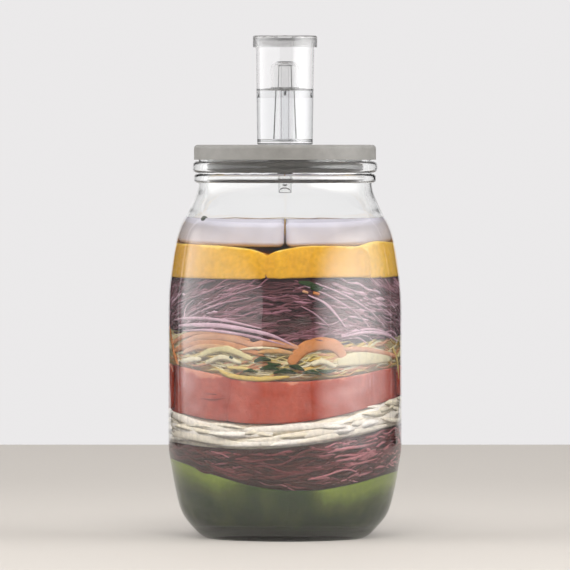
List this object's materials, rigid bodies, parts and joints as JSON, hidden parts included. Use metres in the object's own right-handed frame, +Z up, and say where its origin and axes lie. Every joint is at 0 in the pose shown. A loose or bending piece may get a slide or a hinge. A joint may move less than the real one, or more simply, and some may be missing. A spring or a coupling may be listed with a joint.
{
  "type": "fermentation jar with airlock",
  "caption": "Glass fermentation jar with a silicone lid, a floating-bell water airlock, half-moon ceramic weights and layered vegetables under brine.",
  "frame": {"origin": "on the jar's axis, at the table it stands on", "axes": "+Z up along the jar's axis, which is also the way the lid lifts; the front that the picture shows faces -Y; +X is to the right seen from the front"},
  "size_m": [0.1465, 0.1464, 0.3152],
  "materials": {
    "clear_glass": "polished",
    "grey_silicone": "matte",
    "clear_plastic": "gloss",
    "water": "polished",
    "white_ceramic": "gloss",
    "brine": "polished",
    "green_vegetable": "satin",
    "beetroot": "satin",
    "white_cabbage": "satin",
    "red_pepper": "satin",
    "onion_and_herb": "satin",
    "red_cabbage": "satin",
    "orange_pepper": "satin"
  },
  "bodies": {
    "jar": {"glass_jar": "clear_glass", "brine": "brine", "green_pepper_layer": "green_vegetable", "beetroot_layer": "beetroot", "white_cabbage_layer": "white_cabbage", "red_pepper_layer": "red_pepper", "onion_herb_layer": "onion_and_herb", "red_cabbage_layer": "red_cabbage", "orange_pepper_layer": "orange_pepper"},
    "lid": {"silicone_lid": "grey_silicone"},
    "airlock": {"airlock_body": "clear_plastic", "airlock_water": "water"},
    "float": {"airlock_float": "clear_plastic"},
    "cap": {"airlock_cap": "clear_plastic"},
    "left_stone": {"ceramic_stone_left": "white_ceramic"},
    "right_stone": {"ceramic_stone_right": "white_ceramic"}
  },
  "joints": [
    {"name": "lid_lift", "type": "slide", "parent": "jar", "child": "lid", "axis": [0, 0, 1], "range_m": [0, 0.06]},
    {"name": "airlock_pull", "type": "slide", "parent": "lid", "child": "airlock", "axis": [0, 0, 1], "range_m": [0, 0.04]},
    {"name": "float_rise", "type": "slide", "parent": "airlock", "child": "float", "axis": [0, 0, 1], "range_m": [0, 0.01]},
    {"name": "cap_lift", "type": "slide", "parent": "airlock", "child": "cap", "axis": [0, 0, 1], "range_m": [0, 0.02]},
    {"name": "left_stone_lift", "type": "slide", "parent": "jar", "child": "left_stone", "axis": [0, 0, 1], "range_m": [0, 0.012]},
    {"name": "right_stone_lift", "type": "slide", "parent": "jar", "child": "right_stone", "axis": [0, 0, 1], "range_m": [0, 0.012]}
  ]
}
